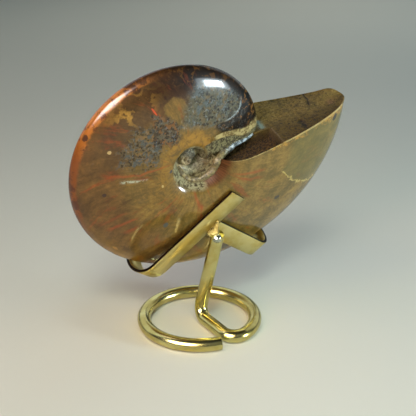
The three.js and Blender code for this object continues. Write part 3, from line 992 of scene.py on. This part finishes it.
def path_curve(name, points):
    """A curve of straight steps through the points."""
    curve = bpy.data.curves.new(name, "CURVE")
    curve.dimensions = "3D"
    spline = curve.splines.new("POLY")
    spline.points.add(len(points) - 1)
    for point, place in zip(spline.points, points):
        point.co = (*place, 1)
    return curve


def rounded_corner(before, corner, after, radius, count=14):
    """Arc of the given radius in place of a corner, as points from one leg to the other."""
    to_before = (before - corner).normalized()
    to_after = (after - corner).normalized()
    half = to_before.angle(to_after) / 2
    centre = corner + (to_before + to_after).normalized() * (radius / math.sin(half))
    start = corner + to_before * (radius / math.tan(half)) - centre
    axis = to_after.cross(to_before).normalized()
    turn = math.pi - 2 * half
    return [centre + Matrix.Rotation(turn * step / (count - 1), 3, axis) @ start for step in range(count)]


def straight(start, end, count):
    """The points that cut a line into equal steps, without its ends."""
    return [start.lerp(end, step / count) for step in range(1, count)]


def flank_height(share):
    """Height of the flank over the median plane, as a share of the whorl's half thickness."""
    if share < SHOULDER_SHARE:
        return math.sqrt(1 - ((SHOULDER_SHARE - share) / SHOULDER_SHARE) ** UMBILICAL_WALL_POWER)
    return (1 - ((share - SHOULDER_SHARE) / (1 - SHOULDER_SHARE)) ** FLANK_TAPER) ** VENTER_ROUNDNESS


def on_flank(turn, share):
    """Place on the near flank, in the shell's own frame."""
    outer = APERTURE_RADIUS * WHORL_EXPANSION ** -turn
    radius = outer * (SEAM_RATIO + (1 - SEAM_RATIO) * share)
    height = outer * HALF_THICKNESS_RATIO * flank_height(share)
    return Vector((radius * math.cos(turn * TAU), -radius * math.sin(turn * TAU), height))


def smooth_path(points, count):
    """Points on a curve that passes through the given ones."""
    path = []
    padded = [2 * points[0] - points[1], *points, 2 * points[-1] - points[-2]]
    for before, start, end, after in zip(padded, padded[1:], padded[2:], padded[3:]):
        for step in range(count):
            share = step / count
            ease = (end - before) * share / 2
            bend = (2 * before - 5 * start + 4 * end - after) * share ** 2 / 2
            curl = (3 * start - before - 3 * end + after) * share ** 3 / 2
            path.append(start + ease + bend + curl)
    return [*path, points[-1]]


def wire_path():
    """Free end, ring, inward run, post and the short top that lies on the strips."""
    ring = []
    for step in range(RING_STEPS + 1):
        angle = RING_FREE_END - RING_SWEEP * step / RING_STEPS
        ring.append(Vector((RING_RADIUS * math.cos(angle), RING_RADIUS * math.sin(angle), WIRE_RADIUS)))
    ring_end = ring.pop()
    tangent = Vector((ring_end.y, -ring_end.x, 0)).normalized()
    inward = (POST_FOOT - INWARD_RUN_START).normalized()
    gap = INWARD_RUN_START - ring_end
    along = (gap.x * inward.y - gap.y * inward.x) / (tangent.x * inward.y - tangent.y * inward.x)
    corner = ring_end + tangent * along
    top_height = ARM_INNER_FACE + ARM_THICKNESS + FIT_GAP + WIRE_RADIUS
    to_base = base_frame.inverted() @ cradle_frame
    knee = to_base @ Vector((KNEE.x, KNEE.y, top_height))
    top_run = Vector((math.cos(POST_TOP_ANGLE), math.sin(POST_TOP_ANGLE), 0)) * POST_TOP_LENGTH
    top = to_base @ (Vector((KNEE.x, KNEE.y, top_height)) + top_run)
    ring_bend = rounded_corner(ring_end, corner, POST_FOOT, RING_BEND_RADIUS)
    foot_bend = rounded_corner(corner, POST_FOOT, knee, POST_FOOT_BEND_RADIUS)
    knee_bend = rounded_corner(POST_FOOT, knee, top, KNEE_BEND_RADIUS)
    return [*ring, *ring_bend, *straight(ring_bend[-1], foot_bend[0], 4), *foot_bend,
            *straight(foot_bend[-1], knee_bend[0], 8), *knee_bend, top]


def arm_path(start, end):
    """Middle line of a strip in its own plane: a straight leg and a half-round hook."""
    bend = HOOK_INNER_RADIUS + ARM_THICKNESS / 2
    points = [Vector((start, 0, 0)), *straight(Vector((start, 0, 0)), Vector((end, 0, 0)), 6)]
    for step in range(HOOK_STEPS + 1):
        angle = math.pi * step / HOOK_STEPS
        points.append(Vector((end + bend * math.sin(angle), 0, bend * (math.cos(angle) - 1))))
    return points


def arm_frame(place, angle):
    """Frame of a strip that starts at a place on the cradle's plane and runs off at an angle."""
    middle = Vector((place.x, place.y, ARM_INNER_FACE + ARM_THICKNESS / 2))
    return cradle_frame @ Matrix.Translation(middle) @ Matrix.Rotation(angle, 4, "Z")


def settle(piece, node):
    """Puts a piece on the part's one body in place of a solid."""
    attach(piece, "root")
    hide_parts(node)


def make_camera():
    """The photograph's camera."""
    data = bpy.data.cameras.new("photo_camera")
    data.sensor_fit = "HORIZONTAL"
    data.angle = CAMERA_FIELD
    data.clip_start = 0.01
    camera = bpy.data.objects.new("photo_camera", data)
    camera.location = RING_CENTRE + CAMERA_PLACE * MM
    camera.rotation_euler = (math.pi / 2 - CAMERA_ELEVATION, 0, CAMERA_AZIMUTH)
    bpy.context.scene.collection.objects.link(camera)
    bpy.context.scene.camera = camera


# Lights: name, azimuth and elevation in degrees, distance and size in metres, power in watts, colour,
# spread in degrees, and the place over the ring's centre that the light faces, in millimetres.
COOL_LAMP = (0.79, 0.93, 1.0)
WINDOW_WHITE = (1.0, 0.9, 0.87)
WALL_WHITE = (0.95, 1.0, 1.0)
LAMPS = (
    ("lamp", 43, 1, 0.6, (0.15, 0.09), 1.2, COOL_LAMP, 110, SHELL_CENTRE),
    ("lamp glow", 43, 1, 0.61, (0.28, 0.18), 0.4, COOL_LAMP, 110, SHELL_CENTRE),
)
UNSEEN_IN_MIRRORS = (
    ("key", -70, 55, 0.8, (0.35, 0.3), 0.47, (1.0, 0.79, 0.5), 110, SHELL_CENTRE),
    ("front panel", -32, 40, 0.8, (0.5, 0.3), 0.38, (0.78, 1.0, 0.66), 110, SHELL_CENTRE),
    ("low window", -61, 17, 0.54, (0.2, 0.15), 0.11, (1.0, 0.5, 0.45), 70, Vector((0, 0, 60))),
    ("front pool", -35, 61, 0.57, (0.2, 0.2), 0.21, (0.93, 1.0, 0.91), 60, Vector((-40, -120, 0))),
    ("back right", 112, 43, 0.735, (0.5, 0.5), 0.6, (1.0, 0.92, 0.75), 90, Vector((200, 500, 0))),
    ("high left", -120, 60, 0.9, (0.5, 0.5), 0.26, (1.0, 0.62, 0.6), 110, SHELL_CENTRE),
    ("high right", 60, 65, 0.9, (0.5, 0.5), 0.22, (0.05, 0.58, 1.0), 110, Vector((80, -60, 0))),
    ("ceiling", 105, 42, 1.2, (1.2, 1.2), 2.8, (0.13, 0.63, 1.0), 180, SHELL_CENTRE),
)
SEEN_IN_MIRRORS_ONLY = (
    ("window glint", -56, 28, 0.69, (0.5, 0.28), 2.5, WINDOW_WHITE, 90, SHELL_CENTRE),
    ("window glow", -56, 28, 0.68, (0.64, 0.42), 1.5, WINDOW_WHITE, 90, SHELL_CENTRE),
    ("side wall", -165, 34, 1.0, (2.0, 1.1), 6.0, WALL_WHITE, 180, SHELL_CENTRE),
    ("right wall", 112, 26, 1.0, (0.9, 0.8), 1.7, WALL_WHITE, 180, SHELL_CENTRE),
    ("room", 20, 30, 1.1, (1.3, 0.9), 0.5, (1.0, 1.0, 0.95), 180, SHELL_CENTRE),
)


def make_light(name, azimuth, elevation, distance, size, power, colour, spread, target):
    """Soft panel that faces a place from a direction given as for a view."""
    data = bpy.data.lights.new(name, "AREA")
    data.shape = "RECTANGLE"
    data.size, data.size_y = size
    data.energy = power
    data.color = colour
    data.spread = math.radians(spread)
    lamp = bpy.data.objects.new(name, data)
    turn = math.radians(azimuth)
    lift = math.radians(elevation)
    away = Vector((math.sin(turn) * math.cos(lift), -math.cos(turn) * math.cos(lift), math.sin(lift)))
    lamp.location = RING_CENTRE + target * MM + away * distance
    lamp.rotation_euler = away.to_track_quat("Z", "Y").to_euler()
    bpy.context.scene.collection.objects.link(lamp)
    return lamp


def make_lights():
    """The lamp, the lights that only brighten and the panels that only show as highlights."""
    for light in LAMPS:
        make_light(*light)
    for light in UNSEEN_IN_MIRRORS:
        make_light(*light).visible_glossy = False
    for light in SEEN_IN_MIRRORS_ONLY:
        make_light(*light).visible_diffuse = False


def make_floor():
    """A flat floor under the ring."""
    corners = [(x * FLOOR_REACH, y * FLOOR_REACH, 0) for x, y in ((-1, -1), (1, -1), (1, 1), (-1, 1))]
    mesh = bpy.data.meshes.new("floor")
    mesh.from_pydata(corners, [], [(0, 1, 2, 3)])
    mesh.materials.append(floor_look)
    floor = bpy.data.objects.new("floor", mesh)
    bpy.context.scene.collection.objects.link(floor)


def make_room():
    """Faint even light from all round."""
    world = bpy.data.worlds.new("room")
    world.use_nodes = True
    background = world.node_tree.nodes["Background"]
    background.inputs["Color"].default_value = ROOM_GREY
    background.inputs["Strength"].default_value = ROOM_STRENGTH
    bpy.context.scene.world = world


def make_ammonite():
    """Shell, inner coil, umbilical knob, seam ridge and stone fill."""
    whorl = whorl_tree()
    shared = {"Aperture Radius": APERTURE_RADIUS, "Expansion": WHORL_EXPANSION}
    outer = {**shared, "First Turn": 0.0, "Last Turn": OUTER_WHORL_TURNS, "Steps": 260,
             "Outline Points": 181, "Look": shell_look}
    settle(grown("ammonite_shell", whorl, outer, shell_frame), "ammonite")
    inner = {**shared, "First Turn": INNER_COIL_START, "Last Turn": LAST_TURN, "Steps": 220,
             "Outline Points": 61, "Look": coil_look}
    settle(grown("ammonite_inner_coil", whorl, inner, shell_frame), "ammonite")
    knob = {"Rings": 60, "Steps": 121, "Radius": KNOB_RADIUS, "Foot": KNOB_FOOT, "Height": KNOB_HEIGHT,
            "Furrow": KNOB_FURROW, "Shade Angle": KNOB_SHADE_ANGLE, "Look": coil_look}
    knob_frame = shell_frame @ Matrix.Translation(KNOB_PLACE)
    settle(grown("ammonite_umbilical_knob", knob_tree(), knob, knob_frame), "ammonite")
    ridge = {"Radius": RIDGE_RADIUS, "Roughness": 0.9, "Look": ridge_look}
    ridge_path = smooth_path([on_flank(turn, share) for turn, share in RIDGE], 14)
    ridge_curve = path_curve("ridge_path", ridge_path)
    settle(grown("ammonite_seam_ridge", ridge_tree(), ridge, shell_frame, ridge_curve),
           "ammonite")
    fill = {"Rings": 120, "Outline Points": 301, "Aperture Radius": APERTURE_RADIUS,
            "Hollow": HOLLOW_DEPTH, "Roughness": 1.6, "Look": stone_look}
    settle(grown("ammonite_stone_fill", aperture_tree(), fill, shell_frame), "ammonite")


def make_stand():
    """Bent rod, two strips and the solder that joins them."""
    wire = {"Radius": WIRE_RADIUS, "Sides": 40, "Look": wire_look}
    wire_curve = path_curve("wire_path", wire_path())
    settle(grown("brass_wire_base", wire_tree(), wire, base_frame, wire_curve), "wire_base")
    sweep = sweep_tree()
    strip = {"Width": ARM_WIDTH, "Thickness": ARM_THICKNESS, "Edge Radius": ARM_EDGE_RADIUS,
             "Look": strip_look}
    along = Vector((math.cos(LONG_ARM_ANGLE), math.sin(LONG_ARM_ANGLE)))
    junction = LONG_ARM_TOP + along * SHORT_ARM_DOWN_LONG_ARM
    long_curve = path_curve("long_arm_path", arm_path(0, LONG_ARM_STRAIGHT))
    long_frame = arm_frame(LONG_ARM_TOP, LONG_ARM_ANGLE)
    settle(grown("brass_long_arm", sweep, strip, long_frame, long_curve), "long_arm")
    short_curve = path_curve("short_arm_path", arm_path(ARM_WIDTH / 2 + FIT_GAP, SHORT_ARM_REACH))
    short_frame = arm_frame(junction, LONG_ARM_ANGLE + math.pi / 2)
    settle(grown("brass_short_arm", sweep, strip, short_frame, short_curve), "short_arm")
    face = ARM_INNER_FACE + ARM_THICKNESS
    run = (SOLDER_TIP - SOLDER_FOOT).to_3d()
    fillet = {"Steps": 48, "Outline Points": 41, "Foot": Vector((*SOLDER_FOOT, face)), "Run": run,
              "Half Width": SOLDER_HALF_WIDTH, "Height": SOLDER_HEIGHT,
              "Drop": SOLDER_DROP + Vector((0, 0, face)), "Drop Radius": SOLDER_DROP_RADIUS,
              "Look": solder_look}
    settle(grown("solder_fillet", solder_tree(), fillet, cradle_frame), "solder_joint")


make_camera()
make_room()
make_lights()
make_floor()
make_ammonite()
make_stand()
bpy.context.scene.view_settings.view_transform = "Standard"
